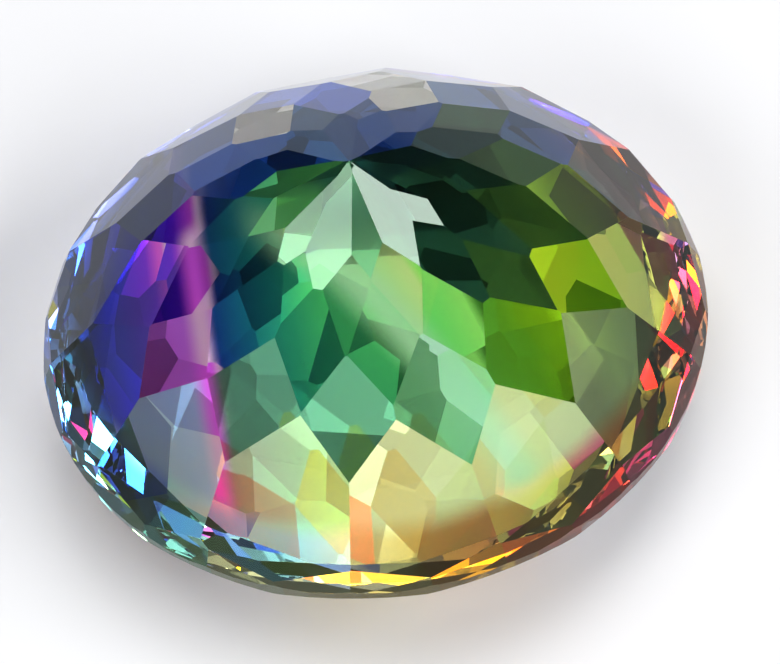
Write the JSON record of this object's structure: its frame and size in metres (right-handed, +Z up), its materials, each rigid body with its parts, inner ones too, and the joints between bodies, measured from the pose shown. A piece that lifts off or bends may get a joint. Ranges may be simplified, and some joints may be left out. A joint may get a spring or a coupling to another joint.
{
  "type": "rainbow quartz gemstone",
  "caption": "Loose oval quartz gem with a tall pointed pavilion of flat facets and a rainbow film, lying on its table face",
  "frame": {"origin": "under the middle of the stone, on the table face that it rests on", "axes": "+X along the oval's length, +Y across its width, +Z up from the table to the point of the pavilion"},
  "size_m": [0.02, 0.0172, 0.0131],
  "materials": {
    "rainbow_quartz": "polished clear quartz under a thin rainbow film, blue to green to yellow to red along its length"
  },
  "bodies": {
    "root": {"quartz_gem": "rainbow_quartz"}
  },
  "joints": []
}
